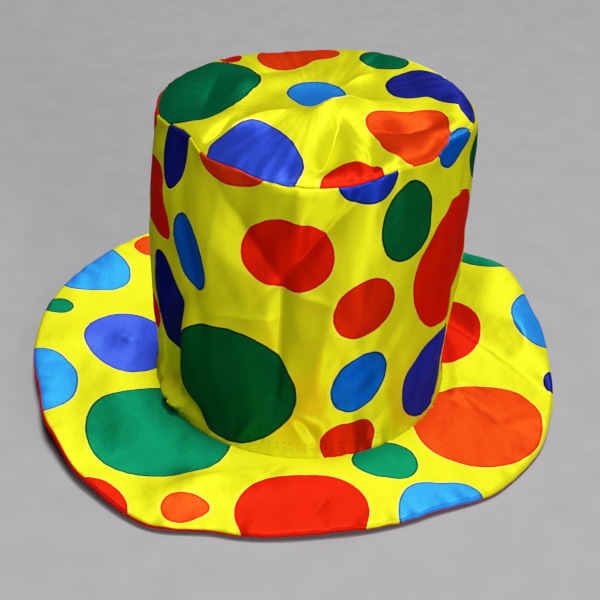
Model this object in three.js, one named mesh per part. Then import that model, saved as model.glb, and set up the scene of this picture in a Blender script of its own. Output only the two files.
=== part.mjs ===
// Floppy clown hat lying on a floor: a round crown, a puffed tip and a wide brim of two cloths.
// Millimetres, +Z up. The front of the hat faces -Y. The origin is on the floor, under the brim's middle.
import * as THREE from 'three';

// Cloth and seams
const CLOTH = 2;
const SEAM_GAP = 0.3;
const HEM = 4;

// Crown: its axis against the brim's middle, its height, its radii at the brim seam and at the tip seam,
// how far it swells at mid height and leans at the top. It rounds in towards the tip seam from the share
// ROUNDED_FROM of its height, and its folds die out over BASE_FADE and RIM_FADE at the two seams.
const CROWN_X = 5;
const CROWN_Y = -8;
const CROWN_HEIGHT = 190;
const BASE_RADIUS = 92;
const RIM_RADIUS_X = 91.3;
const RIM_RADIUS_Y = 86;
const BELLY_X = 4;
const BELLY_Y = 3;
const LEAN_X = 3;
const LEAN_Y = -2;
const ROUNDED_FROM = 0.76;
const BASE_FADE = 9;
const RIM_FADE = 12;

// Tip: how far its middle rises, how far it puffs up beside the hem, how sharply that puff turns down to
// the hem, and the share of its radius over which its folds die out at the hem
const TIP_DOME = 4.5;
const TIP_PUFF = 2.5;
const PUFF_POWER = 6;
const TIP_FADE = 0.22;

// Brim, in shares of its width: the inner ring lies flat out to FLAT_RING, folds are at full depth
// from FOLD_RING on, and the sewn edge turns down from EDGE_RING on
const FLAT_RING = 0.2;
const FOLD_RING = 0.5;
const EDGE_RING = 0.85;
const EDGE_DROP = 1.2;

// Mesh steps
const COLUMNS = 80;
const CROWN_ROWS = 14;
const TIP_RINGS = 8;
const HEM_SHARE = 1 - 1 / TIP_RINGS;
const BRIM_RINGS = 6;

// Colours of the cloths
const YELLOW = 0xf2d10c;
const RED = 0xc01525;

// Where the tip seam is pulled in or lowered: angle and spread in degrees, the rest in millimetres
const RIM_DENTS = [
  { angle: 212, spread: 15, inward: 8, drop: -4 },
  { angle: 240, spread: 11, inward: 3, drop: -2 },
  { angle: 302, spread: 14, inward: 4, drop: -4 },
  { angle: 332, spread: 15, inward: 8, drop: -3 },
  { angle: 103, spread: 30, inward: 1, drop: 6 },
  { angle: 145, spread: 18, inward: 0, drop: 2 },
];

// Folds of the crown. A row is the middle of a fold line (angle in degrees, height above the floor),
// its lean from upright in degrees (to the right going up), its half length, its half width on the
// left and on the right, its depth (inward, negative for a ridge) and its power (2 soft, 1 creased).
const CROWN_FOLDS = [
  { angle: 216, height: 56, lean: 11, reach: 54, left: 14, right: 4, depth: 11, power: 2 },
  { angle: 224, height: 54, lean: 8, reach: 66, left: 5, right: 18, depth: -4, power: 2 },
  { angle: 212, height: 16, lean: -67, reach: 30, left: 7, right: 7, depth: -6, power: 2 },
  { angle: 248.5, height: 153, lean: -39, reach: 46, left: 16, right: 12, depth: 5, power: 1.4 },
  { angle: 273, height: 154, lean: 36, reach: 46, left: 12, right: 14, depth: 5, power: 1.4 },
  { angle: 262, height: 88, lean: 0, reach: 64, left: 15, right: 9, depth: 4, power: 1.4 },
  { angle: 278, height: 92, lean: 6, reach: 66, left: 12, right: 13, depth: -3, power: 1.5 },
  { angle: 236, height: 138, lean: 0, reach: 56, left: 12, right: 16, depth: -3, power: 1.6 },
  { angle: 289, height: 118, lean: 2, reach: 90, left: 14, right: 26, depth: -3, power: 1.6 },
  { angle: 345, height: 100, lean: -4, reach: 95, left: 14, right: 12, depth: 4, power: 2 },
  { angle: 28, height: 88, lean: 6, reach: 90, left: 15, right: 11, depth: 7, power: 2 },
  { angle: 72, height: 105, lean: -8, reach: 95, left: 14, right: 16, depth: 6, power: 2 },
  { angle: 112, height: 78, lean: 5, reach: 85, left: 13, right: 13, depth: 7, power: 2 },
  { angle: 160, height: 100, lean: -4, reach: 95, left: 16, right: 12, depth: 5, power: 2 },
];

// Folds of the tip, in plan from the crown's axis. The fold line's direction is in degrees from +X,
// left and right are its half widths seen along it, and a negative depth is a ridge.
const TIP_FOLDS = [
  { x: -4, y: -20, direction: 12, reach: 74, left: 14, right: 22, depth: -3, power: 1.6 },
  { x: 17, y: -11, direction: 33, reach: 34, left: 6, right: 13, depth: -3, power: 1.5 },
  { x: 11, y: -52, direction: 80, reach: 42, left: 8, right: 6, depth: 4, power: 1.5 },
  { x: 34, y: -56, direction: 96, reach: 30, left: 6, right: 7, depth: 3, power: 1.5 },
  { x: -43, y: -6, direction: 82, reach: 46, left: 12, right: 9, depth: -3, power: 1.8 },
  { x: 56, y: -22, direction: 20, reach: 36, left: 9, right: 8, depth: 4, power: 1.7 },
  { x: 4, y: 18, direction: 8, reach: 44, left: 14, right: 16, depth: 4, power: 2 },
];

// Edge of the brim about the origin: angle in degrees, radius, and the height of its underside
const BRIM_EDGE = [
  { angle: 0, radius: 167, lift: 2 },
  { angle: 14, radius: 167, lift: 10 },
  { angle: 30, radius: 170, lift: 17 },
  { angle: 46, radius: 164, lift: 10 },
  { angle: 66, radius: 164, lift: 5 },
  { angle: 90, radius: 166, lift: 6 },
  { angle: 115, radius: 167, lift: 3 },
  { angle: 140, radius: 167, lift: 6 },
  { angle: 165, radius: 169, lift: 5 },
  { angle: 182, radius: 166, lift: 8 },
  { angle: 199, radius: 165, lift: 12 },
  { angle: 214, radius: 171, lift: 12 },
  { angle: 228, radius: 175, lift: 6 },
  { angle: 243, radius: 178, lift: 2 },
  { angle: 258, radius: 167, lift: 2 },
  { angle: 280, radius: 162, lift: 3 },
  { angle: 300, radius: 163, lift: 2 },
  { angle: 318, radius: 172, lift: 1 },
  { angle: 331, radius: 173, lift: 1 },
  { angle: 345, radius: 170, lift: 4 },
];

// Folds of the brim, in plan from the origin, with columns as the tip's. A negative depth is a ridge.
const BRIM_FOLDS = [
  { x: 128, y: 12, direction: -48, reach: 60, left: 12, right: 10, depth: 5, power: 1.6 },
  { x: 118, y: -10, direction: -40, reach: 42, left: 9, right: 14, depth: -4, power: 2 },
  { x: 103, y: -37, direction: -18, reach: 20, left: 7, right: 7, depth: -4, power: 2 },
  { x: -40, y: -126, direction: 21, reach: 66, left: 15, right: 13, depth: -6, power: 2 },
  { x: -120, y: 4, direction: 10, reach: 45, left: 14, right: 14, depth: -3, power: 2 },
  { x: 45, y: 132, direction: 70, reach: 40, left: 15, right: 15, depth: -4, power: 2 },
  { x: -62, y: 126, direction: 118, reach: 40, left: 16, right: 14, depth: -4, power: 2 },
];

const BRIM_BASE = 2 * CLOTH + SEAM_GAP;
const CROWN_BASE = BRIM_BASE + SEAM_GAP;

function radians(degrees) {
  return THREE.MathUtils.degToRad(degrees);
}

// Degrees from one angle to another, from -180 to 180
function turn(from, to) {
  return THREE.MathUtils.euclideanModulo(to - from + 180, 360) - 180;
}

// Inward depth of one fold at a distance along and across its line
function foldDepth(fold, along, across) {
  const taper = 1 - (along / fold.reach) ** 2;
  if (taper <= 0) {
    return 0;
  }
  const width = across < 0 ? fold.left : fold.right;
  return fold.depth * taper ** 2 * Math.exp(-(Math.abs(across / width) ** fold.power));
}

function crownFoldDepth(degrees, height) {
  let depth = 0;
  for (const fold of CROWN_FOLDS) {
    const arc = radians(turn(fold.angle, degrees)) * BASE_RADIUS;
    const rise = height - fold.height;
    const lean = radians(fold.lean);
    const along = rise * Math.cos(lean) + arc * Math.sin(lean);
    const across = arc * Math.cos(lean) - rise * Math.sin(lean);
    depth += foldDepth(fold, along, across);
  }
  return depth;
}

function planFoldDepth(folds, x, y) {
  let depth = 0;
  for (const fold of folds) {
    const heading = radians(fold.direction);
    const along = (x - fold.x) * Math.cos(heading) + (y - fold.y) * Math.sin(heading);
    const across = (x - fold.x) * Math.sin(heading) - (y - fold.y) * Math.cos(heading);
    depth += foldDepth(fold, along, across);
  }
  return depth;
}

// Sum of one column of the rim's dents at an angle
function rimDent(column, degrees) {
  let sum = 0;
  for (const dent of RIM_DENTS) {
    sum += dent[column] * Math.exp(-((turn(dent.angle, degrees) / dent.spread) ** 2));
  }
  return sum;
}

function rimHeight(degrees) {
  return CROWN_HEIGHT - rimDent('drop', degrees);
}

// Point of the crown's outer face moved inward by a cloth's thickness or less
function crownPoint(degrees, height, inward) {
  const top = rimHeight(degrees);
  const share = height / top;
  const belly = Math.sin(Math.PI * share);
  const radiusX = THREE.MathUtils.lerp(BASE_RADIUS, RIM_RADIUS_X, share) + BELLY_X * belly;
  const radiusY = THREE.MathUtils.lerp(BASE_RADIUS, RIM_RADIUS_Y, share) + BELLY_Y * belly;
  const rounding = THREE.MathUtils.smoothstep(share, ROUNDED_FROM, 1);
  const fade = THREE.MathUtils.smoothstep(height, CROWN_BASE, CROWN_BASE + BASE_FADE)
    * THREE.MathUtils.smoothstep(top - height, 0, RIM_FADE);
  const depth = inward + rimDent('inward', degrees) * rounding + crownFoldDepth(degrees, height) * fade;
  const angle = radians(degrees);
  return new THREE.Vector3(
    CROWN_X + LEAN_X * share ** 2 + (radiusX - depth) * Math.cos(angle),
    CROWN_Y + LEAN_Y * share ** 2 + (radiusY - depth) * Math.sin(angle),
    height,
  );
}

// Point of the tip's upper face, lowered by a cloth's thickness or less. The outermost ring is the flat hem.
function tipPoint(degrees, share, lower) {
  const rim = crownPoint(degrees, rimHeight(degrees), 0);
  const hem = crownPoint(degrees, rimHeight(degrees), HEM);
  const middle = new THREE.Vector3(CROWN_X + LEAN_X, CROWN_Y + LEAN_Y, CROWN_HEIGHT);
  if (share >= 1) {
    return rim.setZ(rim.z - lower);
  }
  const inner = share / HEM_SHARE;
  const point = new THREE.Vector3().lerpVectors(middle, hem, inner);
  const dome = TIP_DOME * (1 - inner ** 2);
  const puff = 4 * TIP_PUFF * inner ** PUFF_POWER * (1 - inner ** PUFF_POWER);
  const fade = THREE.MathUtils.smoothstep(1 - inner, 0, TIP_FADE);
  const fold = planFoldDepth(TIP_FOLDS, point.x - CROWN_X, point.y - CROWN_Y) * fade;
  point.z = THREE.MathUtils.lerp(middle.z, hem.z, inner ** 2) + dome + puff - fold - lower;
  return point;
}

// One column of the brim's edge at an angle, eased from row to row
function brimEdge(column, degrees) {
  for (let row = 0; row < BRIM_EDGE.length; row += 1) {
    const here = BRIM_EDGE[row];
    const next = BRIM_EDGE[(row + 1) % BRIM_EDGE.length];
    const span = THREE.MathUtils.euclideanModulo(next.angle - here.angle, 360);
    const past = THREE.MathUtils.euclideanModulo(degrees - here.angle, 360);
    if (past <= span) {
      return THREE.MathUtils.lerp(here[column], next[column], THREE.MathUtils.smoothstep(past / span, 0, 1));
    }
  }
  return 0;
}

// Point of the brim at a share of its width, a given height above its underside
function brimPoint(degrees, share, above) {
  const angle = radians(degrees);
  const inner = crownPoint(degrees, CROWN_BASE, CLOTH);
  const radius = brimEdge('radius', degrees);
  const outer = new THREE.Vector3(radius * Math.cos(angle), radius * Math.sin(angle), 0);
  const point = new THREE.Vector3(
    THREE.MathUtils.lerp(inner.x, outer.x, share),
    THREE.MathUtils.lerp(inner.y, outer.y, share),
    0,
  );
  const loose = THREE.MathUtils.smoothstep(share, FLAT_RING, 1);
  const creased = THREE.MathUtils.smoothstep(share, FLAT_RING, FOLD_RING);
  const fold = planFoldDepth(BRIM_FOLDS, point.x, point.y) * creased;
  const edge = EDGE_DROP * THREE.MathUtils.smoothstep(share, EDGE_RING, 1);
  const lift = brimEdge('lift', degrees) * loose - fold - edge;
  point.z = Math.max(lift, 0) + above;
  return point;
}

// Closed wall of two faces over a round grid. Its rows run upward on a standing wall, with the outside
// first, and outward on a lying one, with the underside first. A capped wall starts at a middle point.
function closedWall(front, back, rows, capped) {
  const positions = [];
  const triangles = [];
  const starts = [];
  for (const face of [front, back]) {
    starts.push(positions.length / 3);
    for (let row = 0; row <= rows; row += 1) {
      const count = capped && row === 0 ? 1 : COLUMNS;
      for (let column = 0; column < count; column += 1) {
        face((360 * column) / COLUMNS, row / rows).toArray(positions, positions.length);
      }
    }
  }
  const vertex = (face, column, row) => {
    if (capped) {
      return starts[face] + (row === 0 ? 0 : 1 + (row - 1) * COLUMNS + (column % COLUMNS));
    }
    return starts[face] + row * COLUMNS + (column % COLUMNS);
  };
  for (let column = 0; column < COLUMNS; column += 1) {
    for (let row = 0; row < rows; row += 1) {
      for (const face of [0, 1]) {
        const low = vertex(face, column, row);
        const lowNext = vertex(face, column + 1, row);
        const high = vertex(face, column, row + 1);
        const highNext = vertex(face, column + 1, row + 1);
        const corners = [[low, highNext, high]];
        if (low !== lowNext) {
          corners.push([low, lowNext, highNext]);
        }
        for (const [a, b, c] of corners) {
          triangles.push(...(face === 0 ? [a, b, c] : [a, c, b]));
        }
      }
    }
    const edges = capped ? [rows] : [0, rows];
    for (const row of edges) {
      const a = vertex(0, column, row);
      const b = vertex(0, column + 1, row);
      const c = vertex(1, column + 1, row);
      const d = vertex(1, column, row);
      triangles.push(...(row === 0 ? [a, c, b, a, d, c] : [a, b, c, a, c, d]));
    }
  }
  const geometry = new THREE.BufferGeometry();
  geometry.setAttribute('position', new THREE.Float32BufferAttribute(positions, 3));
  geometry.setIndex(triangles);
  geometry.computeVertexNormals();
  return geometry;
}

function cloth(name, geometry, color, roughness) {
  const material = new THREE.MeshStandardMaterial({ color, roughness, metalness: 0 });
  const mesh = new THREE.Mesh(geometry, material);
  mesh.name = name;
  return mesh;
}

function crownFace(inward) {
  return (degrees, share) => {
    const top = rimHeight(degrees) - CLOTH - SEAM_GAP;
    return crownPoint(degrees, THREE.MathUtils.lerp(CROWN_BASE, top, share), inward);
  };
}

const hat = new THREE.Group();
hat.add(cloth('crown_side', closedWall(crownFace(0), crownFace(CLOTH), CROWN_ROWS, false), YELLOW, 0.5));
hat.add(cloth('crown_tip', closedWall(
  (degrees, share) => tipPoint(degrees, share, CLOTH),
  (degrees, share) => tipPoint(degrees, share, 0),
  TIP_RINGS,
  true,
), YELLOW, 0.5));
hat.add(cloth('brim_top', closedWall(
  (degrees, share) => brimPoint(degrees, share, CLOTH + SEAM_GAP),
  (degrees, share) => brimPoint(degrees, share, BRIM_BASE),
  BRIM_RINGS,
  false,
), YELLOW, 0.5));
hat.add(cloth('brim_under', closedWall(
  (degrees, share) => brimPoint(degrees, share, 0),
  (degrees, share) => brimPoint(degrees, share, CLOTH),
  BRIM_RINGS,
  false,
), RED, 0.6));

export default hat;
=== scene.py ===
"""Clown hat in dotted satin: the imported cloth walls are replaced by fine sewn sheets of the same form.

Sizes are in millimetres and degrees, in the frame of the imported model, where no comment says
otherwise. Angles run anticlockwise from +X seen from above, so that 270 is the front of the hat.
"""
import math
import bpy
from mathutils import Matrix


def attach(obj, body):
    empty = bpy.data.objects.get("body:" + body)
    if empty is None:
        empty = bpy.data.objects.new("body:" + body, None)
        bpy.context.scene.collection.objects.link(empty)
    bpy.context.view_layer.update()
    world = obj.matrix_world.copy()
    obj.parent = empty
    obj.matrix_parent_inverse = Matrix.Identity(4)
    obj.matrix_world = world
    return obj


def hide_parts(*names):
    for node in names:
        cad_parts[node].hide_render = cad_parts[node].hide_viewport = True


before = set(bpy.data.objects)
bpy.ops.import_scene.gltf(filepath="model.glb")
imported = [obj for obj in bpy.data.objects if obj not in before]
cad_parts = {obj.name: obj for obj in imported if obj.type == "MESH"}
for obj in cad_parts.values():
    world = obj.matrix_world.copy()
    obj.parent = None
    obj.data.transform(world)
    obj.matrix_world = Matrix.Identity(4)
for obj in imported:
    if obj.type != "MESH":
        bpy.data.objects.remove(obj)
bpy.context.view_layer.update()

from types import SimpleNamespace

import bpy
import numpy as np
from mathutils import Euler, Matrix, Vector

MM = 0.001
TINY = 1e-9
FAR = 1e3


def table(columns, *rows):
    """Rows of values with named columns."""
    names = columns.split()
    return [SimpleNamespace(**dict(zip(names, row))) for row in rows]


# Crown: axis, height, radii at its two seams, swelling at mid height and lean at the top
CROWN_X = 5
CROWN_Y = -8
CROWN_HEIGHT = 190
BASE_RADIUS = 92
RIM_RADIUS_X = 91.3
RIM_RADIUS_Y = 86
BELLY_X = 4
BELLY_Y = 3
LEAN_X = 3
LEAN_Y = -2

# Crown: the share of its height where the dents of the rim begin, the flare at its foot, and the
# distances from each seam within which folds and creases fade out
ROUNDED_FROM = 0.76
BASE_FLARE = 6
FLARE_START = 14
FLARE_END = 50
BASE_FADE = 9
RIM_FADE = 12
BASE_CREASE_FADE = 3
RIM_CREASE_FADE = 4

# Tip: dome, puff along its edge, and as shares of its radius the hub inside the first row and the
# rings at the edge within which folds and creases fade out
TIP_DOME = 4.5
TIP_PUFF = 2.5
PUFF_POWER = 6
TIP_HUB = 0.012
TIP_FADE = 0.22
TIP_CREASE_FADE = 0.06

# Brim: thickness of its two cloths together, tuck under the crown, and as shares of its width where
# it leaves the floor, where folds are whole, and where creases begin and are whole
BRIM_THICKNESS = 4.3
BRIM_TUCK = 2.0
FLAT_RING = 0.2
FOLD_RING = 0.5
CREASE_RING = (0.05, 0.2)
CREASE_SHARE = 0.8

# Cloth, its least height above the floor, the rolled edges at the tip seam with their tuck in rolls
# and the bends where they end, and the rounded outer edge of the brim
CLOTH = 1.1
CLEAR = 0.15
SEAM_ROLL = 1.0
SEAM_TUCK = 2.2
CROWN_ROLL_END = 115
TIP_ROLL_END = -25
EDGE_ROLL = 2.2

# Bend where the cloths of the brim meet on its edge, and the angle where the edge is rolled up most,
# so that the red cloth shows
EDGE_SEAM = SimpleNamespace(bend=-6, rolled=72, angle=214, spread=42)

# Puckers along the seams: depth, waves round the hat and reach from the seam. The reach is a share of
# the radius on the tip and a share of the width at the edge of the brim.
RIM_PUCKER = SimpleNamespace(depth=0.5, waves=(31, 47, 58))
TOP_PUCKER = SimpleNamespace(depth=0.4, waves=(37, 52, 71), reach=7)
FOOT_PUCKER = SimpleNamespace(depth=0.6, waves=(43, 59, 83), reach=6)
TIP_PUCKER = SimpleNamespace(depth=0.05, waves=(37, 52, 71), reach=1 / 11)
EDGE_PUCKER = SimpleNamespace(depth=0.7, waves=(41, 67, 90), reach=1 / 9)

# Stitches, with the depth of their ends, the bow of their middle and the fullness of the thread
STITCH_LENGTH = 2.4
STITCH_PITCH = 4.2
STITCH_RADIUS = 0.24
STITCH_HEIGHTS = (10.2, 13.6)
STITCH_SINK = 0.25
STITCH_BOW = 0.38
STITCH_FULL = 1.02
STITCH_END = 0.1

# Camera solved from the photograph
CAMERA_PLACE = (3.4, -710.4, 566.9)
CAMERA_PITCH = 36.16
CAMERA_ROLL = 2.64
CAMERA_LENS = 83.4
CAMERA_SENSOR = 36

# Soft shoulder of the camera's response, in linear light
BRIGHTEST = 4
SHOULDER = table(
    "light shown",
    (0.3, 0.3),
    (0.6, 0.54),
    (1.0, 0.74),
    (2.0, 0.93),
)

# Lights, in metres and watts: one above in front, one overhead and a fill from the front right
LIGHTS = table(
    "name place size power colour",
    ("key", (0.2, -1.2, 4.1), 1.2, 55, (1.0, 0.99, 0.97)),
    ("top", (0.1, 0.0, 3.6), 0.9, 140, (1.0, 1.0, 1.0)),
    ("fill", (1.5, -2.3, 1.0), 1.2, 48, (1.0, 1.0, 1.0)),
)
LIGHT_AIM = (0, 0, 0.1)
SURROUND = (0.9, 0.95, 1.0)
SURROUND_STRENGTH = 0.03

# Floor, in metres
FLOOR_SIZE = 8
FLOOR_GAP = 0.0002
FLOOR_SCALE = 40.0
FLOOR_DARK = (0.27, 0.27, 0.28)
FLOOR_LIGHT = (0.29, 0.29, 0.30)

# Satin: scales are per metre of cloth and bump distances in metres. The gloss spreads along the warp.
YARN_SCALE = 560.0
YARN_UNEVEN = 0.6
YARN_SHARE = 0.25
SLUB_SCALE = (260, 2600, 1)
SLUB_SHARE = 0.5
CRINKLE_SCALE = 130.0
WEAVE_BUMP = {"Strength": 0.16, "Distance": 0.0003}
CRINKLE_BUMP = {"Strength": 0.22, "Distance": 0.0012}
NOISE_SPAN = (0.3, 0.7)
PRINT_ROUGHNESS = 0.48
UNDER_ROUGHNESS = 0.50
SMOOTHER = 0.05
ROUGHER = 0.07
GLOSS = {
    "Metallic": 0.6,
    "Specular IOR Level": 0.0,
    "Specular Tint": (0.3, 0.3, 0.3, 1),
    "Anisotropic": 0.85,
    "Anisotropic Rotation": 0.25,
}

# Mesh steps
CROWN_COLUMNS = 360
CROWN_ROWS = 122
TIP_COLUMNS = 360
TIP_ROWS = 62
BRIM_COLUMNS = 420
BRIM_ROWS = 50
ROLL_ROWS = 6
STITCH_SIDES = 6
STITCH_RINGS = 5

# Where the tip seam is pulled in, and lowered or raised (negative)
RIM_DENTS = table(
    "angle spread inward drop",
    (212, 15, 8, -4),
    (240, 11, 3, -2),
    (302, 14, 4, -4),
    (332, 15, 8, -3),
    (103, 30, 1, 6),
    (145, 18, 0, 2),
)

# Folds of the crown: middle of the fold line, its lean from upright (to the right going up), half
# length, half widths on the left and right, depth (negative for a ridge) and power (2 is soft,
# 1 is creased)
CROWN_FOLDS = table(
    "angle height lean reach left right depth power",
    (216, 56, 11, 54, 14, 4, 11, 2),
    (224, 54, 8, 66, 5, 18, -4, 2),
    (212, 16, -67, 30, 7, 7, -6, 2),
    (248.5, 153, -39, 46, 16, 12, 5, 1.4),
    (273, 154, 36, 46, 12, 14, 5, 1.4),
    (262, 88, 0, 64, 15, 9, 4, 1.4),
    (278, 92, 6, 66, 12, 13, -3, 1.5),
    (236, 138, 0, 56, 12, 16, -3, 1.6),
    (289, 118, 2, 90, 14, 26, -3, 1.6),
    (345, 100, -4, 95, 14, 12, 4, 2),
    (28, 88, 6, 90, 15, 11, 7, 2),
    (72, 105, -8, 95, 14, 16, 6, 2),
    (112, 78, 5, 85, 13, 13, 7, 2),
    (160, 100, -4, 95, 16, 12, 5, 2),
)

# Folds of the tip, in plan from the crown's axis, and of the brim, in plan from the origin. The fold
# line's direction is in degrees from +X, and left and right are its half widths seen along it.
TIP_FOLDS = table(
    "x y direction reach left right depth power",
    (-4, -20, 12, 74, 14, 22, -3, 1.6),
    (17, -11, 33, 34, 6, 13, -3, 1.5),
    (11, -52, 80, 42, 8, 6, 4, 1.5),
    (34, -56, 96, 30, 6, 7, 3, 1.5),
    (-43, -6, 82, 46, 12, 9, -3, 1.8),
    (56, -22, 20, 36, 9, 8, 4, 1.7),
    (4, 18, 8, 44, 14, 16, 4, 2),
)
BRIM_FOLDS = table(
    "x y direction reach left right depth power",
    (128, 12, -48, 60, 12, 10, 2, 1.6),
    (141, 23, -47, 62, 20, 15, -5, 2),
    (112, -20, -40, 36, 14, 14, -2, 2),
    (103, -37, -18, 20, 7, 7, -4, 2),
    (-40, -126, 21, 66, 15, 13, -6, 2),
    (-120, 4, 10, 45, 14, 14, -3, 2),
    (45, 132, 70, 40, 15, 15, -4, 2),
    (-62, 126, 118, 40, 16, 14, -4, 2),
)

# Edge of the brim about the origin, with the height of its underside
BRIM_EDGE = table(
    "angle radius lift",
    (0, 167, 2),
    (14, 167, 10),
    (30, 170, 17),
    (46, 164, 10),
    (66, 164, 5),
    (90, 166, 6),
    (115, 167, 3),
    (140, 167, 6),
    (165, 169, 5),
    (182, 166, 8),
    (199, 165, 12),
    (214, 171, 12),
    (228, 175, 6),
    (243, 178, 2),
    (258, 167, 2),
    (280, 162, 3),
    (300, 163, 2),
    (318, 172, 1),
    (331, 173, 1),
    (345, 170, 4),
)

# Crease line in plan where the right of the brim leaves the floor, and the slope behind it. The line
# holds the brim down no farther than reach along it and front before it.
RISE_LINE = SimpleNamespace(x=125, y=13, direction=-47, slope=0.42, reach=55, front=45)

# Crumples of the satin: waves round the girth, pitch along the cloth, depth and phase
CRUMPLES = table(
    "around pitch depth phase",
    (11, 96, 0.75, 0.13),
    (14, -64, 0.60, 0.71),
    (25, 420, 0.45, 0.30),
    (5, 44, 0.50, 0.37),
    (36, -330, 0.25, 0.62),
    (19, 150, 0.45, 0.89),
    (23, -38, 0.30, 0.52),
    (31, 52, 0.24, 0.24),
)

# How the crumples sway, and the patches in which they come and go
SWAYS = table(
    "share around pitch phase",
    (0.35, 3, 31, 9),
    (0.25, 5, -23, 5),
)
PATCHES = table(
    "around pitch phase",
    (4, 27, 13),
    (3, -41, 7),
)

# Corners of the crumples, where 1 is sharp, and the girth that their waves go round
CORNER = 0.985
GIRTH = 578

# Shares of the crumples' depth on the tip and the brim, where on the pattern each of them lies, and
# the turn of the tip's warp
TIP_CRUMPLE = 0.4
TIP_SHIFT = 90
BRIM_CRUMPLE = 0.3
BRIM_SHIFT = 180
TIP_GRAIN = -26

# Fine creases that the thicker packed walls leave out, with the same columns as the folds
CROWN_CREASES = table(
    "angle height lean reach left right depth power",
    (248.5, 153, -39, 46, 4, 4, 2.7, 1.0),
    (273, 154, 36, 46, 4, 4, 2.7, 1.0),
    (262, 100, 0, 48, 5, 3, 2.0, 1.0),
    (277, 100, 8, 44, 4, 5, -1.6, 1.0),
    (236, 138, 0, 48, 5, 6, -1.6, 1.0),
    (250, 102, 84, 36, 3, 4, -2.2, 1.0),
    (272, 121, 104, 18, 3, 4, -1.8, 1.0),
    (256, 118, 40, 18, 3, 3, 1.6, 1.0),
    (265, 176, 2, 26, 6, 5, -1.9, 1.0),
    (267, 163, 2, 40, 14, 10, -2.4, 1.2),
    (262, 54, 6, 30, 12, 3, 2.8, 1.0),
    (266, 42, -65, 18, 2.5, 4, 2.2, 1.0),
    (250, 19, 31, 18, 3, 3, -2.2, 1.0),
    (273, 33, -60, 15, 2.4, 2.4, -2.6, 1.0),
    (274, 24, -34, 17, 2.6, 2.6, 3.2, 1.0),
    (270, 23, -29, 18, 2.6, 2.6, -2.4, 1.0),
    (279, 24, -12, 9, 2, 2, -1.2, 1.0),
    (300, 20, 30, 22, 5, 5, 1.1, 1.2),
    (229, 108, -14, 40, 6, 8, 1.9, 1.3),
    (224, 20, -60, 22, 4, 4, 4.7, 1.5),
    (212, 16, -67, 28, 7, 5, -4.0, 1.6),
    (238, 66, 30, 34, 8, 10, -2.4, 1.2),
    (214, 14, 40, 11, 2.5, 3, 3.6, 1.0),
    (220, 12, 55, 10, 2.5, 3, 3.4, 1.0),
    (207, 22, 30, 13, 3, 3, 3.2, 1.0),
    (211, 30, -30, 14, 3, 3, 1.9, 1.0),
    (205, 42, 14, 26, 4, 5, -1.9, 1.2),
    (28, 96, 6, 64, 5, 4, 2.4, 1.0),
    (72, 112, -8, 64, 4, 5, 2.4, 1.0),
    (112, 84, 5, 58, 5, 4, 2.6, 1.0),
    (160, 104, -4, 64, 4, 5, 2.2, 1.0),
    (50, 146, -36, 38, 5, 5, 2.4, 1.0),
    (92, 150, 34, 38, 5, 5, 2.4, 1.0),
    (92, 60, -20, 40, 8, 8, -2.2, 1.2),
    (136, 64, 38, 32, 5, 5, -2.0, 1.1),
    (12, 34, 40, 24, 4, 4, 2.0, 1.0),
    (128, 26, -44, 22, 4, 4, 2.2, 1.0),
    (60, 24, 46, 20, 4, 4, -2.0, 1.0),
)
TIP_CREASES = table(
    "x y direction reach left right depth power",
    (15, -12, 33, 24, 4, 7, -4.9, 1.0),
    (10, -54, 78, 34, 4, 7, 4.1, 1.0),
    (26, -46, -56, 24, 5, 3, 1.1, 1.0),
    (33, -64, 98, 20, 3.6, 3.6, 2.4, 1.0),
    (-58, 4, 84, 40, 5, 4, 1.9, 1.1),
    (-45, 2, 78, 36, 4, 4, -1.1, 1.1),
    (55, -24, 18, 26, 5, 4, 3.5, 1.0),
    (-28, -28, 32, 30, 6, 6, -3.2, 1.0),
    (-50, -44, 60, 20, 5, 4, 3.2, 1.0),
    (25, 30, 40, 18, 4, 4, -1.6, 1.1),
    (30, 12, -20, 22, 4, 4, 1.6, 1.1),
    (-20, 40, 20, 30, 6, 6, 1.6, 1.2),
)
BRIM_CREASES = table(
    "x y direction reach left right depth power",
    (124, 13, -47, 58, 3.5, 34, -3.6, 1.0),
    (112, -24, -36, 30, 6, 10, -1.2, 1.2),
    (-7, -114, 40, 16, 9, 3, -2.4, 1.0),
    (100, -32, -12, 20, 4, 3, -1.9, 1.0),
    (110, -44, -28, 24, 4, 5, 1.4, 1.1),
    (-38, -122, 22, 50, 6, 7, -1.7, 1.1),
    (-108, 6, -30, 12, 3, 3, 1.0, 1.0),
    (-110, 8, 60, 10, 3, 3, -0.7, 1.0),
    (20, -140, 60, 16, 3, 4, 1.1, 1.1),
    (48, -148, 66, 14, 3, 3, 1.1, 1.1),
    (132, -62, -30, 26, 5, 5, 1.0, 1.2),
    (148, 74, 50, 22, 5, 5, 1.1, 1.2),
    (-150, -30, 20, 20, 5, 5, 1.0, 1.2),
)

# Inks, in linear colour. The last eight are copies of the brim's inks with light and shade painted in:
# the tip's two are darkened as painted shade, and the crown's six are darkened or lightened as its
# painted light and shade.
PALETTE = {
    "red": (0.70, 0.009, 0.002),
    "orange": (0.84, 0.035, 0.0035),
    "green": (0.002, 0.150, 0.062),
    "navy": (0.010, 0.014, 0.190),
    "royal": (0.032, 0.070, 0.680),
    "sky": (0.017, 0.215, 0.850),
    "emerald_painted_shade": (0.0015, 0.120, 0.047),
    "lapis_painted_shade": (0.022, 0.052, 0.560),
    "scarlet_painted_light": (0.86, 0.012, 0.0015),
    "vermilion_painted_shade": (0.62, 0.014, 0.0015),
    "pine_painted_shade": (0.0015, 0.100, 0.026),
    "indigo_painted_light_and_shade": (0.024, 0.028, 0.44),
    "cobalt_painted_shade": (0.008, 0.026, 0.34),
    "azure_painted_shade": (0.003, 0.100, 0.56),
}
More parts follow.
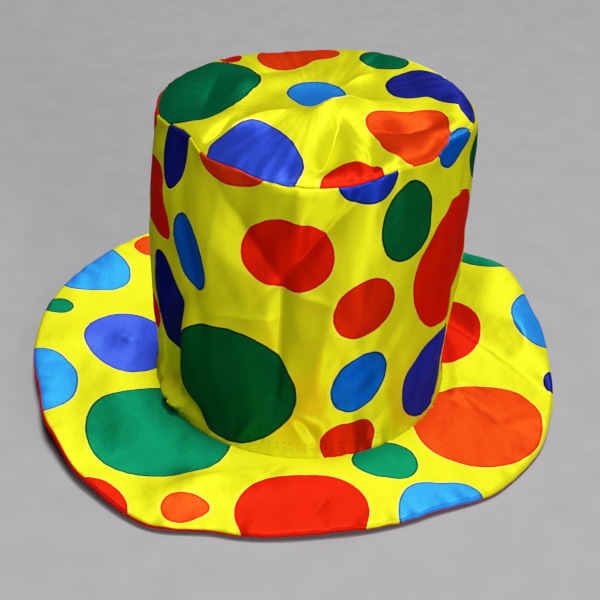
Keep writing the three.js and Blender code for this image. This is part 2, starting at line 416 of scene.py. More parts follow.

# Other colours: the yellow cloth with its tones, the pale halo round a dot, what the dark line at its
# edge lets through, the faded inside, the red under cloth, and the painted shade of the stitch holes
# that darkens the thread
GROUND = (0.86, 0.85, 0.008)
TONES = (0.94, 1.05)
TONE_SCALE = 22.0
HALO = (0.93, 0.93, 0.10)
HALO_SHARE = 0.4
OVERPRINT = (0.85, 0.22, 0.03)
OVERLAP_SHARE = 0.9
FADED = (0.80, 0.72, 0.22)
FADED_SHARE = 0.55
UNDER_RED = (0.56, 0.008, 0.010)
UNDER_RED_LIGHT = (0.70, 0.0112, 0.012)
UNDER_SCALE = 26.0
# Painted shade of the stitch holes, as factors on the colour of the print under the thread
STITCH_SHADE_DARK = (0.50, 0.48, 0.45)
STITCH_SHADE_LIGHT = (0.66, 0.64, 0.60)
THREAD_SCALE = 900.0
THREAD_SPAN = (0.35, 0.65)

# Edge of a printed dot: its wobble and blur, and how far from it the halo and the dark line lie
WOBBLE = 0.9
WOBBLE_SCALE = 160.0
BLUR = 0.25
HALO_REACH = (1.3, 0.5)
OVERLAP_REACH = (-1.5, -0.9)

# Printed dots. Most of those that the photograph shows are charted by their middle and their radius
# towards eight bearings, from the right round through the top. The others are plain ovals, with
# half sizes and a tilt to the right going up.
# Apart from navy and orange, the crown's dots take inks with its light and shade painted in.
CROWN_DOTS = table(
    "colour angle height e ne n nw w sw s se",
    ("scarlet_painted_light", 262.5, 147, 26.5, 23.5, 23, 23.8, 26.5, 24.6, 23, 26),
    ("pine_painted_shade", 243, 48, 42.5, 41.5, 43.5, 42, 35, 38, 42, 40),
    ("vermilion_painted_shade", 290, 14, 18.2, 17, 13.4, 16.4, 18, 18, 16, 18),
    ("scarlet_painted_light", 328, 116, 42, 48, 44, 34, 30.4, 31.6, 41, 44),
    ("indigo_painted_light_and_shade", 326, 38, 36, 36, 28.5, 28, 21.6, 24.3, 30.6, 36),
    ("scarlet_painted_light", 203, 148, 10.6, 8.5, 15, 24, 34, 30, 20, 27),
)
CROWN_OVALS = table(
    "colour angle height across tall tilt",
    ("pine_painted_shade", 305, 162, 17.5, 23.5, 8),
    ("vermilion_painted_shade", 290, 114, 16.8, 20, 22),
    ("azure_painted_shade", 291.5, 59, 16.5, 23.5, 12),
    ("navy", 208.5, 181, 13, 22, -6),
    ("navy", 211.5, 79, 17.5, 38, -7),
    ("azure_painted_shade", 226, 131, 12, 23, -24),
    ("scarlet_painted_light", 194, 60, 12, 14, 0),
    ("orange", 239, 194, 24, 13, 0),
    ("cobalt_painted_shade", 289, 194, 18.5, 16, 0),
    ("azure_painted_shade", 334, 192, 21, 13.5, 0),
    ("pine_painted_shade", 2, 168, 22, 18, 10),
    ("azure_painted_shade", 6, 66, 14, 24, -14),
    ("orange", 17, 118, 18, 22, 20),
    ("scarlet_painted_light", 7, 10, 17, 16, 0),
    ("scarlet_painted_light", 38, 160, 26, 23, -12),
    ("pine_painted_shade", 36, 62, 34, 40, 12),
    ("cobalt_painted_shade", 48, 8, 20, 16, 0),
    ("navy", 59, 122, 18, 28, -16),
    ("orange", 66, 182, 20, 15, 8),
    ("scarlet_painted_light", 72, 70, 22, 26, 10),
    ("azure_painted_shade", 83, 138, 17, 24, 12),
    ("pine_painted_shade", 96, 30, 26, 22, -8),
    ("cobalt_painted_shade", 99, 180, 22, 17, 0),
    ("orange", 103, 92, 19, 24, -18),
    ("scarlet_painted_light", 121, 142, 30, 34, 8),
    ("navy", 124, 58, 18, 27, 14),
    ("pine_painted_shade", 142, 184, 22, 15, -6),
    ("azure_painted_shade", 143, 98, 17, 22, -12),
    ("scarlet_painted_light", 146, 20, 24, 19, 6),
    ("pine_painted_shade", 164, 138, 24, 30, 10),
    ("orange", 163, 66, 20, 24, -10),
    ("cobalt_painted_shade", 171, 14, 18, 18, 0),
    ("navy", 181, 100, 13, 18, 8),
    ("scarlet_painted_light", 178, 186, 20, 13, 0),
)
# Three of the tip's dots take inks darkened as painted shade.
TIP_DOTS = table(
    "colour x y e ne n nw w sw s se",
    ("emerald_painted_shade", -61, 7, 25.5, 41, 42, 32, 28, 40, 42, 27),
    ("orange", -8, 65, 25, 18, 13, 16, 25.7, 29, 18, 10.5),
    ("sky", 2, 10, 18.5, 19, 18.6, 19, 16.5, 16, 26, 27),
    ("emerald_painted_shade", 42, 57, 15, 13.5, 15, 15, 15, 13, 13, 16),
    ("navy", 66, 27, 24, 20, 18.5, 18, 23.5, 26, 13.3, 33),
    ("orange", 54.5, -23, 21.3, 27, 14.5, 18, 25.2, 24, 46, 29),
    ("lapis_painted_shade", -30, -58, 23.7, 22, 26, 21, 23.5, 32, 40, 36),
    ("red", 24, -77, 16, 13, 11.4, 11.5, 14, 24, 18, 14),
)
TIP_OVALS = table(
    "colour x y across tall tilt",
    ("red", -50, 56, 7, 8, 0),
    ("sky", 81, -38, 7, 20, 22),
    ("navy", 88, 4, 5, 16, -12),
)
BRIM_DOTS = table(
    "colour x y e ne n nw w sw s se",
    ("sky", -137, 78, 22, 20.5, 26.5, 22, 26, 31, 23, 26),
    ("green", -158, 34, 11, 9, 8.6, 9, 11, 10, 9, 10),
    ("royal", -110, 5, 28, 28, 29, 28, 26, 26, 31, 36),
    ("sky", -158, -48, 26, 26, 32.5, 26, 22, 26, 36, 33),
    ("green", -80, -86, 47, 47, 45, 47, 41, 41.5, 38.5, 43),
    ("red", -108, -147, 19, 15.5, 16.5, 20, 20, 20, 22, 24),
    ("orange", -56, -147, 14.7, 9.8, 8.4, 11.2, 14, 14.5, 11.8, 11),
    ("red", 10, -143, 38.6, 36, 29, 30, 38.6, 40, 32, 38),
    ("green", 60, -99, 18, 17.3, 17, 18, 22.5, 16, 14.4, 19),
    ("sky", 90, -136, 27, 26, 19, 24.5, 24.5, 30, 22, 24),
    ("orange", 117, -62, 38.6, 43, 34.5, 38, 41, 40, 39, 39),
    ("red", 99, 32, 25.5, 26.5, 32, 28, 22, 26, 36, 29),
    ("green", 128, 112, 40, 24, 18, 20, 20, 17, 22, 34),
    ("orange", -107, 109, 12, 12, 13, 10, 9.7, 9, 11, 12),
)
BRIM_OVALS = table(
    "colour x y across tall tilt",
    ("navy", 167, -20, 6, 9, 0),
    ("sky", 163, 36, 18, 26, -8),
    ("royal", 76, 118, 18, 22, 20),
    ("sky", 30, 106, 18, 14, 0),
    ("red", 34, 146, 26, 17, -8),
    ("green", -14, 122, 22, 26, 12),
    ("orange", -50, 146, 19, 15, 16),
    ("navy", -60, 106, 14, 18, 30),
    ("red", -92, 148, 16, 12, 38),
)

# Bearings of the charted radii, and in radians the turns over which an outline is softened and its
# slope is measured
BEARINGS = ("e", "ne", "n", "nw", "w", "sw", "s", "se")
SOFTEN = math.radians(16)
SLIGHT_TURN = 0.02


def smoothstep(value, low, high):
    """Eased share of the way from low to high, from 0 to 1."""
    share = np.clip((value - low) / (high - low), 0, 1)
    return share * share * (3 - 2 * share)


def turn(start, end):
    """Degrees from one angle to another, from -180 to 180."""
    return (end - start + 180) % 360 - 180


def bell(distance, spread):
    """Bell curve of height 1."""
    return np.exp(-((distance / spread) ** 2))


def fold_depth(row, along, across):
    """Depth of one fold at distances along and across its line."""
    taper = np.clip(1 - (along / row.reach) ** 2, 0, None)
    width = np.where(across < 0, row.left, row.right)
    return row.depth * taper**2 * np.exp(-np.abs(across / width) ** row.power)


def crown_fold_depth(rows, angle, height):
    """Depth of all the folds of a table on the crown."""
    depth = np.zeros_like(angle)
    for row in rows:
        arc = np.radians(turn(row.angle, angle)) * BASE_RADIUS
        rise = height - row.height
        lean = math.radians(row.lean)
        along = rise * math.cos(lean) + arc * math.sin(lean)
        across = arc * math.cos(lean) - rise * math.sin(lean)
        depth += fold_depth(row, along, across)
    return depth


def plan_fold_depth(rows, x, y):
    """Depth of all the folds of a table on the tip or the brim."""
    depth = np.zeros_like(x)
    for row in rows:
        right = x - row.x
        back = y - row.y
        heading = math.radians(row.direction)
        along = right * math.cos(heading) + back * math.sin(heading)
        across = right * math.sin(heading) - back * math.cos(heading)
        depth += fold_depth(row, along, across)
    return depth


def rim_dent(column, angle):
    """One column of the rim's dents, summed."""
    return sum(getattr(dent, column) * bell(turn(dent.angle, angle), dent.spread) for dent in RIM_DENTS)


def pucker(seam, angle):
    """Uneven little waves along a seam. Their odd phases keep them from lining up."""
    theta = np.radians(angle)
    ripple = sum(np.sin(count * theta + 1.7 * count) for count in seam.waves) / len(seam.waves)
    swell = 0.55 + 0.45 * np.sin(5 * theta + 0.8) * np.sin(3 * theta - 1.1)
    return seam.depth * (ripple * swell)


def triangle_wave(turns):
    """Wave from about -1 to 1 with straight flanks and slightly rounded corners."""
    return 2 / math.pi * np.arcsin(CORNER * np.sin(2 * math.pi * turns))


def slow_wave(row, around, along, phase):
    """Long wave over the cloth that starts elsewhere for each crumple."""
    return np.sin(row.around * around + along / row.pitch + phase * row.phase)


def crumple(across, along):
    """Flat facets with creases between them, from crossed waves that come and go over the cloth."""
    around = 2 * math.pi * across / GIRTH
    depth = np.zeros_like(across)
    for row in CRUMPLES:
        sway = sum(bend.share * slow_wave(bend, around, along, row.phase) for bend in SWAYS)
        first, second = (slow_wave(patch, around, along, row.phase) for patch in PATCHES)
        wave = triangle_wave(row.around * across / GIRTH + along / row.pitch + row.phase + sway)
        depth += row.depth * (0.5 + 0.5 * first * second) * wave
    return depth


def rim_height(angle):
    """Height of the tip seam."""
    return CROWN_HEIGHT - rim_dent("drop", angle) + pucker(RIM_PUCKER, angle)


def crown_point(angle, height, inward):
    """Points of the crown's outer face, moved inward."""
    top = rim_height(angle)
    share = height / top
    below = top - height
    above = height - BRIM_THICKNESS
    rise = np.maximum(above, 0)
    belly = np.sin(np.pi * np.clip(share, 0, 1))
    radius_x = BASE_RADIUS + (RIM_RADIUS_X - BASE_RADIUS) * share + BELLY_X * belly
    radius_y = BASE_RADIUS + (RIM_RADIUS_Y - BASE_RADIUS) * share + BELLY_Y * belly
    fade = smoothstep(above, 0, BASE_FADE) * smoothstep(below, 0, RIM_FADE)
    fine_fade = smoothstep(above, 0, BASE_CREASE_FADE) * smoothstep(below, 0, RIM_CREASE_FADE)
    fine = crown_fold_depth(CROWN_CREASES, angle, height) + crumple(angle / 360 * GIRTH, height)
    depth = inward + rim_dent("inward", angle) * smoothstep(share, ROUNDED_FROM, 1)
    depth = depth + BASE_FLARE * (1 - np.exp(-rise / FLARE_START)) * np.exp(-rise / FLARE_END)
    depth = depth + crown_fold_depth(CROWN_FOLDS, angle, height) * fade + fine * fine_fade
    depth = depth + pucker(TOP_PUCKER, angle) * np.exp(-below / TOP_PUCKER.reach)
    depth = depth + pucker(FOOT_PUCKER, angle) * np.exp(-above / FOOT_PUCKER.reach)
    theta = np.radians(angle)
    x = CROWN_X + LEAN_X * share**2 + (radius_x - depth) * np.cos(theta)
    y = CROWN_Y + LEAN_Y * share**2 + (radius_y - depth) * np.sin(theta)
    return np.stack([x, y, height], axis=-1)


def crown_grid():
    """Outer face of the crown from the brim seam up, ending in a roll into the tip seam."""
    angle = np.linspace(0, 360, CROWN_COLUMNS, endpoint=False)
    wall_top = rim_height(angle) - SEAM_TUCK * SEAM_ROLL
    inward = []
    height = []
    for share in np.linspace(0, 1, CROWN_ROWS):
        inward.append(np.zeros_like(angle))
        height.append(BRIM_THICKNESS + (wall_top - BRIM_THICKNESS) * share)
    for bend in np.radians(np.linspace(0, CROWN_ROLL_END, ROLL_ROWS + 1)[1:]):
        inward.append(np.full_like(angle, SEAM_ROLL * (1 - math.cos(bend))))
        height.append(wall_top + SEAM_ROLL * math.sin(bend))
    heights = np.array(height)
    angles = np.broadcast_to(angle, heights.shape)
    points = crown_point(angles, heights, np.array(inward))
    place = np.stack([np.radians(angles) * BASE_RADIUS, heights], axis=-1)
    return points, place


def tip_grid():
    """Upper face of the tip from its middle out, ending in a roll down into the tip seam."""
    angle = np.linspace(0, 360, TIP_COLUMNS, endpoint=False)
    top = rim_height(angle)
    hem = crown_point(angle, top, SEAM_TUCK * SEAM_ROLL)
    seam = pucker(TIP_PUCKER, angle)
    middle = np.array([CROWN_X + LEAN_X, CROWN_Y + LEAN_Y, CROWN_HEIGHT])
    rows = []
    for share in np.linspace(TIP_HUB, 1, TIP_ROWS):
        point = middle + (hem - middle) * share
        x = point[:, 0] - CROWN_X
        y = point[:, 1] - CROWN_Y
        fold = plan_fold_depth(TIP_FOLDS, x, y) * smoothstep(1 - share, 0, TIP_FADE)
        fine = plan_fold_depth(TIP_CREASES, x, y) + TIP_CRUMPLE * crumple(x + TIP_SHIFT, y)
        crease = fine * smoothstep(1 - share, 0, TIP_CREASE_FADE)
        height = middle[2] + (hem[:, 2] - middle[2]) * share**2 + TIP_DOME * (1 - share**2)
        # The factor 4 makes TIP_PUFF the height of the puff
        puff = TIP_PUFF * 4 * share**PUFF_POWER * (1 - share**PUFF_POWER)
        near_seam = math.exp(-(1 - share) / TIP_PUCKER.reach)
        point[:, 2] = height + puff - fold - crease - seam * near_seam
        rows.append(point)
    for bend in np.radians(np.linspace(90, TIP_ROLL_END, ROLL_ROWS + 1)[1:]):
        point = crown_point(angle, top, SEAM_ROLL * (SEAM_TUCK - math.cos(bend)))
        point[:, 2] = top - SEAM_ROLL * (1 - math.sin(bend)) - seam
        rows.append(point)
    points = np.array(rows)
    return points, points[..., :2] - (CROWN_X, CROWN_Y)


def brim_edge(column, angle):
    """One column of the brim's edge, eased from row to row."""
    value = np.zeros_like(angle)
    for here, ahead in zip(BRIM_EDGE, BRIM_EDGE[1:] + BRIM_EDGE[:1]):
        span = (ahead.angle - here.angle) % 360
        past = (angle - here.angle) % 360
        start = getattr(here, column)
        end = getattr(ahead, column)
        value = np.where(past < span, start + (end - start) * smoothstep(past, 0, span), value)
    return value


def brim_lift(angle, share, x, y):
    """Height of the brim's underside above the floor."""
    loose = smoothstep(share, FLAT_RING, 1)
    fold = plan_fold_depth(BRIM_FOLDS, x, y) * smoothstep(share, FLAT_RING, FOLD_RING)
    lift = np.maximum(brim_edge("lift", angle) * loose - fold, 0)
    heading = math.radians(RISE_LINE.direction)
    right = x - RISE_LINE.x
    back = y - RISE_LINE.y
    behind = back * math.cos(heading) - right * math.sin(heading)
    along = right * math.cos(heading) + back * math.sin(heading)
    past_ends = np.maximum(np.abs(along) - RISE_LINE.reach, 0)
    in_front = np.maximum(-behind - RISE_LINE.front, 0)
    ramp = RISE_LINE.slope * (np.maximum(behind, 0) + (past_ends + in_front) / 2)
    fine = plan_fold_depth(BRIM_CREASES, x, y) + BRIM_CRUMPLE * crumple(x + BRIM_SHIFT, y)
    crease = fine * smoothstep(share, *CREASE_RING)
    edge = pucker(EDGE_PUCKER, angle) * np.exp(-(1 - share) / EDGE_PUCKER.reach)
    return np.minimum(lift, ramp) - CREASE_SHARE * crease + edge


def brim_grid(under):
    """Upper or lower face of the brim from the crown out, ending at the seam on the rounded edge."""
    angle = np.linspace(0, 360, BRIM_COLUMNS, endpoint=False)
    theta = np.radians(angle)
    inner = crown_point(angle, np.full_like(angle, BRIM_THICKNESS), BRIM_TUCK)
    radius = brim_edge("radius", angle) - EDGE_ROLL
    outer_x = radius * np.cos(theta)
    outer_y = radius * np.sin(theta)
    rows = []
    for share in np.linspace(0, 1, BRIM_ROWS):
        x = inner[:, 0] + (outer_x - inner[:, 0]) * share
        y = inner[:, 1] + (outer_y - inner[:, 1]) * share
        lift = brim_lift(angle, share, x, y)
        height = lift if under else lift + BRIM_THICKNESS
        rows.append(np.stack([x, y, np.maximum(height, CLEAR)], axis=-1))
    half = BRIM_THICKNESS / 2
    edge_lift = brim_lift(angle, 1.0, outer_x, outer_y)
    start = -90 if under else 90
    seam = EDGE_SEAM.bend + EDGE_SEAM.rolled * bell(turn(EDGE_SEAM.angle, angle), EDGE_SEAM.spread)
    for share in np.linspace(0, 1, ROLL_ROWS + 1)[1:]:
        bend = np.radians(start + (seam - start) * share)
        reach = radius + EDGE_ROLL * np.cos(bend)
        x = reach * np.cos(theta)
        y = reach * np.sin(theta)
        height = edge_lift + half + half * np.sin(bend)
        rows.append(np.stack([x, y, np.maximum(height, CLEAR)], axis=-1))
    points = np.array(rows)
    return points, points[..., :2].copy()


def grid_normals(points):
    """Normals of a grid that closes on itself along its columns."""
    across = np.roll(points, -1, axis=1) - np.roll(points, 1, axis=1)
    along = np.gradient(points, axis=0)
    normal = np.cross(across, along)
    return normal / np.maximum(np.linalg.norm(normal, axis=-1, keepdims=True), TINY)


def crown_place(row, place):
    """Distance across and up the crown's cloth from a dot's middle."""
    angle = np.degrees(place[..., 0] / BASE_RADIUS)
    return np.radians(turn(row.angle, angle)) * BASE_RADIUS, place[..., 1] - row.height


def plan_place(row, place):
    """Distance right and back from a dot's middle, in plan."""
    return place[..., 0] - row.x, place[..., 1] - row.y


def charted_radius(chart, bearing):
    """Radius towards a bearing in radians, eased between the charted radii without overshooting them."""
    ahead = np.roll(chart, -1) - chart
    behind = np.roll(ahead, 1)
    product = np.clip(ahead * behind, 0, None)
    slope = 2 * product / np.where(product > 0, ahead + behind, 1)
    place = bearing / (2 * math.pi) * len(chart)
    step = np.floor(place).astype(int)
    share = place - step
    here = step % len(chart)
    there = (step + 1) % len(chart)
    rise = share * share * (3 - 2 * share)
    bend = slope[here] * share * (1 - share) ** 2 - slope[there] * share**2 * (1 - share)
    return chart[here] + ahead[here] * rise + bend


def dot_radius(row, bearing):
    """Radius of a dot towards a bearing in radians: charted and softened, or that of an oval."""
    if hasattr(row, "tall"):
        own = bearing + math.radians(row.tilt)
        return row.across * row.tall / np.hypot(row.tall * np.cos(own), row.across * np.sin(own))
    chart = np.array([getattr(row, name) for name in BEARINGS], dtype=float)
    weights = ((-SOFTEN, 0.25), (0, 0.5), (SOFTEN, 0.25))
    return sum(weight * charted_radius(chart, bearing + shift) for shift, weight in weights)


def dot_print(rows, place, measure):
    """Signed distance to the nearest printed dot at each place of a cloth, and that dot's colour."""
    nearest = np.full(place.shape[:-1], FAR)
    colour = np.zeros(place.shape[:-1] + (4,))
    for row in rows:
        right, up = measure(row, place)
        bearing = np.arctan2(up, right)
        radius = dot_radius(row, bearing)
        change = dot_radius(row, bearing + SLIGHT_TURN) - dot_radius(row, bearing - SLIGHT_TURN)
        slope = change / (2 * SLIGHT_TURN) / radius
        distance = (np.hypot(right, up) - radius) / np.hypot(1, slope)
        closer = distance < nearest
        nearest = np.where(closer, distance, nearest)
        colour[closer] = (*PALETTE[row.colour], 1)
    return nearest, colour


def add_values(mesh, name, kind, field, values):
    """Attribute with one value for each point of a mesh."""
    layer = mesh.attributes.new(name, kind, "POINT")
    layer.data.foreach_set(field, np.asarray(values, dtype=np.float32).ravel())


def smooth_object(name, points, faces):
    """Linked object with a smooth mesh, from points in millimetres."""
    mesh = bpy.data.meshes.new(name)
    mesh.from_pydata((np.asarray(points) * MM).tolist(), [], faces)
    mesh.polygons.foreach_set("use_smooth", np.ones(len(mesh.polygons), dtype=bool))
    piece = bpy.data.objects.new(name, mesh)
    bpy.context.scene.collection.objects.link(piece)
    return piece


def sheet_object(name, face, place, outward, capped=False):
    """Closed sheet of cloth from the grid of its outer face, whose normals point outward (1) or not (-1).

    place is each grid point's place on the flat cloth. A capped sheet has no hole inside its first row.
    Returns the sheet and the place of each of its points.
    """
    rows, columns = face.shape[:2]
    back = face - grid_normals(face) * outward * CLOTH
    count = rows * columns
    index = np.arange(count).reshape(rows, columns)
    ahead = np.roll(index, -1, axis=1)
    skin = np.stack([index[:-1], ahead[:-1], ahead[1:], index[1:]], axis=-1).reshape(-1, 4)
    lining = skin[:, ::-1] + count
    rims = []
    for row, order in ((0, 1), (rows - 1, -1)):
        rim = np.stack([index[row], index[row] + count, ahead[row] + count, ahead[row]], axis=-1)
        rims.append(rim[:, ::order])
    quads = [skin, lining, rims[1]] if capped else [skin, lining, *rims]
    faces = np.concatenate(quads)[:, ::outward].tolist()
    points = [face.reshape(-1, 3), back.reshape(-1, 3)]
    places = [place.reshape(-1, 2), place.reshape(-1, 2)]
    reverse = [np.zeros(count), np.ones(count)]
    if capped:
        points.append(np.stack([face[0].mean(axis=0), back[0].mean(axis=0)]))
        places.append(np.stack([place[0].mean(axis=0)] * 2))
        reverse.append(np.array([0.0, 1.0]))
        for first, hub, order in ((0, 2 * count, outward), (count, 2 * count + 1, -outward)):
            fan = np.stack([np.full(columns, hub), ahead[0] + first, index[0] + first], axis=-1)
            faces.extend(fan[:, ::order].tolist())
    piece = smooth_object(name, np.concatenate(points), faces)
    add_values(piece.data, "reverse", "FLOAT", "value", np.concatenate(reverse))
    return piece, np.concatenate(places)


def add_cloth_map(mesh, flat, girth=None):
    """UV map of each corner's place on the flat cloth, in metres. A girth closes a cloth on itself."""
    corner = np.empty(len(mesh.loops), dtype=np.int32)
    mesh.loops.foreach_get("vertex_index", corner)
    place = flat[corner].copy()
    if girth:
        start = np.empty(len(mesh.polygons), dtype=np.int32)
        total = np.empty(len(mesh.polygons), dtype=np.int32)
        mesh.polygons.foreach_get("loop_start", start)
        mesh.polygons.foreach_get("loop_total", total)
        widest = np.repeat(np.maximum.reduceat(place[:, 0], start), total)
        place[:, 0] = np.where(widest - place[:, 0] > girth / 2, place[:, 0] + girth, place[:, 0])
    layer = mesh.uv_layers.new(name="cloth")
    layer.data.foreach_set("uv", (place * MM).astype(np.float32).ravel())


def dotted_sheet(name, grid, outward, satin, rows, measure, girth=None, capped=False, grain=0):
    """One printed cloth piece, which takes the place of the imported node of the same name.

    grain is the turn of the cloth's warp in degrees.
    """
    face, place = grid
    piece, flat = sheet_object(f"{name}_cloth", face, place, outward, capped)
    nearest, colour = dot_print(rows, flat, measure)
    add_values(piece.data, "dot_edge", "FLOAT", "value", nearest)
    add_values(piece.data, "dot_colour", "FLOAT_COLOR", "color", colour)
    cosine = math.cos(math.radians(grain))
    sine = math.sin(math.radians(grain))
    add_cloth_map(piece.data, flat @ np.array([[cosine, -sine], [sine, cosine]]), girth)
    piece.data.materials.append(satin)
    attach(piece, "root")
    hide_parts(name)
    return piece


def stitch_rows(name, heights):
    """Rows of thread stitches round the base of the crown, as one joined mesh."""
    step = np.linspace(-1, 1, STITCH_RINGS)
    inward = STITCH_SINK - STITCH_BOW * (1 - step**2)
    radius = STITCH_RADIUS * np.sqrt(np.clip(STITCH_FULL - step**4, STITCH_END, 1))
    half = math.degrees(STITCH_LENGTH / 2 / BASE_RADIUS)
    count = int(2 * math.pi * BASE_RADIUS / STITCH_PITCH)
    points = []
    faces = []
    places = []
    for height in heights:
        for number in range(count):
            middle = 360 * number / count
            angle = middle + half * step
            theta = np.radians(angle)
            centre = crown_point(angle, np.full(STITCH_RINGS, height), inward)
            out = np.stack([np.cos(theta), np.sin(theta), np.zeros(STITCH_RINGS)], axis=-1)
            starts = [len(points) + side * STITCH_RINGS for side in range(STITCH_SIDES)]
            for around in np.linspace(0, 2 * math.pi, STITCH_SIDES, endpoint=False):
                spoke = out * math.cos(around) + np.array([0, 0, math.sin(around)])
                points.extend((centre + radius[:, None] * spoke).tolist())
                places.extend([(math.radians(middle) * BASE_RADIUS, height)] * STITCH_RINGS)
            for here, beside in zip(starts, starts[1:] + starts[:1]):
                for ring in range(STITCH_RINGS - 1):
                    faces.append((here + ring, here + ring + 1, beside + ring + 1, beside + ring))
            faces.append(starts)
            faces.append([start + STITCH_RINGS - 1 for start in reversed(starts)])
    piece = smooth_object(name, points, faces)
    # Each stitch takes the colour of the print under it, which the thread darkens as painted shade.
    nearest, colour = dot_print(CROWN_DOTS + CROWN_OVALS, np.array(places), crown_place)
    colour[nearest > 0] = (*GROUND, 1)
    add_values(piece.data, "dot_colour", "FLOAT_COLOR", "color", colour)
    piece.data.materials.append(thread())
    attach(piece, "root")
    return piece


class Nodes:
    """Short calls for building a material's node tree."""

    def __init__(self, name):
        self.material = bpy.data.materials.new(name)
        self.material.use_nodes = True
        self.tree = self.material.node_tree

    def fill(self, node, inputs):
        """Link a node's inputs to other sockets, or set their values."""
        for key, value in inputs.items():
            if isinstance(value, bpy.types.NodeSocket):
                self.tree.links.new(value, node.inputs[key])
            else:
                node.inputs[key].default_value = value

    def shade(self, inputs):
        """Fill the inputs of the material's own shader."""
        self.fill(self.tree.nodes["Principled BSDF"], inputs)
        return self.material

    def add(self, kind, inputs, **settings):
        node = self.tree.nodes.new(kind)
        for key, value in settings.items():
            setattr(node, key, value)
        self.fill(node, inputs)
        return node

    def cloth(self):
        return self.add("ShaderNodeUVMap", {}, uv_map="cloth").outputs["UV"]

    def place(self):
        return self.add("ShaderNodeTexCoord", {}).outputs["Object"]

    def attribute(self, name, output):
        return self.add("ShaderNodeAttribute", {}, attribute_name=name).outputs[output]

    def math(self, operation, first, second):
        return self.add("ShaderNodeMath", {0: first, 1: second}, operation=operation).outputs[0]

    def ramp(self, value, low, high, start=0.0, end=1.0):
        inputs = {"Value": value, "From Min": low, "From Max": high, "To Min": start, "To Max": end}
        return self.add("ShaderNodeMapRange", inputs, interpolation_type="SMOOTHSTEP").outputs["Result"]

    def mix(self, share, first, second, blend="MIX"):
        inputs = {0: share, 6: first, 7: second}
        return self.add("ShaderNodeMix", inputs, data_type="RGBA", blend_type=blend).outputs[2]

    def noise(self, vector, scale, detail=2.0):
        inputs = {"Vector": vector, "Scale": scale, "Detail": detail}
        return self.add("ShaderNodeTexNoise", inputs).outputs["Fac"]


def finish_satin(nodes, colour, roughness):
    """Satin weave, slubs and gloss over a colour, on the cloth map."""
    cloth = nodes.cloth()
    streaks = nodes.add("ShaderNodeMapping", {"Vector": cloth, "Scale": SLUB_SCALE}).outputs["Vector"]
    slub = nodes.noise(streaks, 1.0, detail=3.0)
    crinkle = nodes.noise(cloth, CRINKLE_SCALE, detail=3.0)
    yarns = []
    for direction in ("X", "Y"):
        inputs = {"Vector": cloth, "Scale": YARN_SCALE, "Distortion": YARN_UNEVEN}
        yarns.append(nodes.add("ShaderNodeTexWave", inputs, bands_direction=direction).outputs["Fac"])
    weave = nodes.math("MULTIPLY", nodes.math("MULTIPLY", *yarns), YARN_SHARE)
    height = nodes.math("ADD", weave, nodes.math("MULTIPLY", slub, SLUB_SHARE))
    fine = nodes.add("ShaderNodeBump", {"Height": height, **WEAVE_BUMP}).outputs["Normal"]
    coarse = nodes.add("ShaderNodeBump", {"Height": crinkle, "Normal": fine, **CRINKLE_BUMP})
    tangent = nodes.add("ShaderNodeTangent", {}, direction_type="UV_MAP", uv_map="cloth")
    rough = nodes.ramp(slub, *NOISE_SPAN, roughness - SMOOTHER, roughness + ROUGHER)
    nodes.shade({"Base Color": colour, "Roughness": rough, "Normal": coarse.outputs["Normal"]})
    nodes.shade({"Tangent": tangent.outputs["Tangent"]})
    return nodes.shade(GLOSS)


def printed_satin():
    """Yellow satin with printed dots, each with a thin dark line where the inks overlap at its edge."""
    nodes = Nodes("printed_satin")
    cloth = nodes.cloth()
    edge = nodes.attribute("dot_edge", "Fac")
    ink = nodes.attribute("dot_colour", "Color")
    reverse = nodes.attribute("reverse", "Fac")
    wobble = nodes.math("SUBTRACT", nodes.noise(cloth, WOBBLE_SCALE), 0.5)
    distance = nodes.math("ADD", edge, nodes.math("MULTIPLY", wobble, WOBBLE))
    inside = nodes.ramp(distance, BLUR, -BLUR)
    tone = nodes.ramp(nodes.noise(cloth, TONE_SCALE, detail=3.0), *NOISE_SPAN, *TONES)
    grey = nodes.add("ShaderNodeCombineColor", {0: tone, 1: tone, 2: tone}).outputs[0]
    ground = nodes.mix(1.0, (*GROUND, 1), grey, "MULTIPLY")
    halo = nodes.math("MULTIPLY", nodes.ramp(distance, *HALO_REACH), HALO_SHARE)
    overlap = nodes.math("MULTIPLY", inside, nodes.ramp(distance, *OVERLAP_REACH))
    dark = nodes.mix(1.0, ink, (*OVERPRINT, 1), "MULTIPLY")
    dot = nodes.mix(nodes.math("MULTIPLY", overlap, OVERLAP_SHARE), ink, dark)
    front = nodes.mix(inside, nodes.mix(halo, ground, (*HALO, 1)), dot)
    faded = nodes.mix(FADED_SHARE, front, (*FADED, 1))
    return finish_satin(nodes, nodes.mix(reverse, front, faded), PRINT_ROUGHNESS)


def red_satin():
    """Plain red satin of the brim's underside."""
    nodes = Nodes("red_satin")
    share = nodes.ramp(nodes.noise(nodes.cloth(), UNDER_SCALE, detail=3.0), *NOISE_SPAN)
    colour = nodes.mix(share, (*UNDER_RED, 1), (*UNDER_RED_LIGHT, 1))
    return finish_satin(nodes, colour, UNDER_ROUGHNESS)


def thread():
    """Matt thread, a little darker than the print under it, as painted shade of stitch holes."""
    nodes = Nodes("thread")
    share = nodes.ramp(nodes.noise(nodes.place(), THREAD_SCALE), *THREAD_SPAN)
    shade = nodes.mix(share, (*STITCH_SHADE_DARK, 1), (*STITCH_SHADE_LIGHT, 1))
    colour = nodes.mix(1.0, nodes.attribute("dot_colour", "Color"), shade, "MULTIPLY")
    return nodes.shade({"Base Color": colour, "Roughness": 0.7, "Specular IOR Level": 0.05})


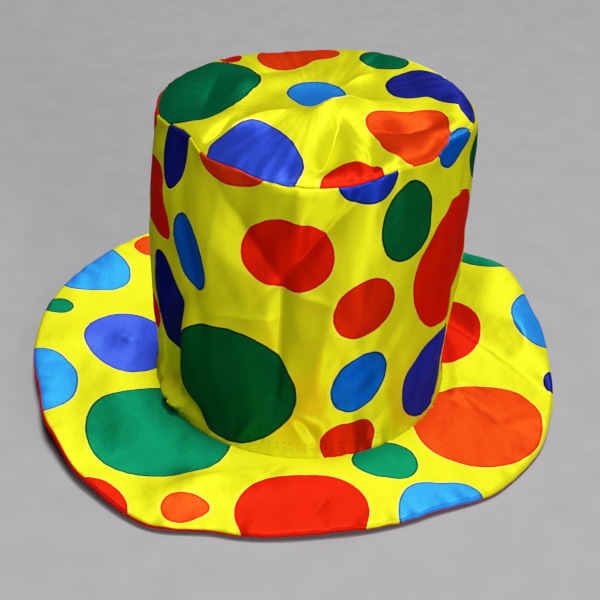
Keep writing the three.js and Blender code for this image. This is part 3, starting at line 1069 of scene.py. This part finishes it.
def floor():
    """Plain pale floor under the hat."""
    bpy.ops.mesh.primitive_plane_add(size=FLOOR_SIZE, location=(0, 0, -FLOOR_GAP))
    plane = bpy.context.object
    plane.name = "floor"
    nodes = Nodes("pale_floor")
    share = nodes.ramp(nodes.noise(nodes.place(), FLOOR_SCALE, detail=4.0), *NOISE_SPAN)
    colour = nodes.mix(share, (*FLOOR_DARK, 1), (*FLOOR_LIGHT, 1))
    plane.data.materials.append(nodes.shade({"Base Color": colour, "Roughness": 0.8}))


def area_light(row):
    """One soft round light, aimed at the hat."""
    light = bpy.data.lights.new(row.name, "AREA")
    light.shape = "ELLIPSE"
    light.size = row.size
    light.size_y = row.size
    light.energy = row.power
    light.color = row.colour
    lamp = bpy.data.objects.new(row.name, light)
    lamp.location = row.place
    lamp.rotation_euler = (Vector(LIGHT_AIM) - Vector(row.place)).to_track_quat("-Z", "Y").to_euler()
    bpy.context.scene.collection.objects.link(lamp)


def studio_light():
    """The area lights, a faint even surround and the soft shoulder of the camera's response."""
    for row in LIGHTS:
        area_light(row)
    world = bpy.data.worlds.new("surround")
    world.use_nodes = True
    background = world.node_tree.nodes["Background"]
    background.inputs["Color"].default_value = (*SURROUND, 1)
    background.inputs["Strength"].default_value = SURROUND_STRENGTH
    bpy.context.scene.world = world
    view = bpy.context.scene.view_settings
    view.view_transform = "Standard"
    view.use_curve_mapping = True
    view.curve_mapping.white_level = (BRIGHTEST, BRIGHTEST, BRIGHTEST)
    shoulder = view.curve_mapping.curves[3]
    for row in SHOULDER:
        shoulder.points.new(row.light / BRIGHTEST, row.shown)
    view.curve_mapping.update()


def photo_camera():
    """Camera at the photograph's place: its pitch, roll and lens were solved from the crown's seams."""
    camera = bpy.data.cameras.new("photo_camera")
    camera.sensor_width = CAMERA_SENSOR
    camera.lens = CAMERA_LENS
    camera.clip_start = 0.05
    rig = bpy.data.objects.new("photo_camera", camera)
    pitch = Euler((math.radians(90 - CAMERA_PITCH), 0, 0)).to_matrix()
    roll = Matrix.Rotation(math.radians(CAMERA_ROLL), 3, "Z")
    rig.matrix_world = Matrix.Translation(Vector(CAMERA_PLACE) * MM) @ (pitch @ roll).to_4x4()
    bpy.context.scene.collection.objects.link(rig)
    bpy.context.scene.camera = rig


def main():
    """Camera, stage and light, then the hat."""
    photo_camera()
    floor()
    studio_light()
    satin = printed_satin()
    crown_dots = CROWN_DOTS + CROWN_OVALS
    tip_dots = TIP_DOTS + TIP_OVALS
    brim_dots = BRIM_DOTS + BRIM_OVALS
    around = 2 * math.pi * BASE_RADIUS
    crown = dotted_sheet("crown_side", crown_grid(), 1, satin, crown_dots, crown_place, girth=around)
    tip = dotted_sheet(
        "crown_tip", tip_grid(), -1, satin, tip_dots, plan_place, capped=True, grain=TIP_GRAIN
    )
    brim = dotted_sheet("brim_top", brim_grid(under=False), -1, satin, brim_dots, plan_place)
    under_face, under_place = brim_grid(under=True)
    under, flat = sheet_object("brim_under_cloth", under_face, under_place, 1)
    add_cloth_map(under.data, flat)
    under.data.materials.append(red_satin())
    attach(under, "root")
    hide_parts("brim_under")
    stitches = stitch_rows("base_stitches", STITCH_HEIGHTS)


main()
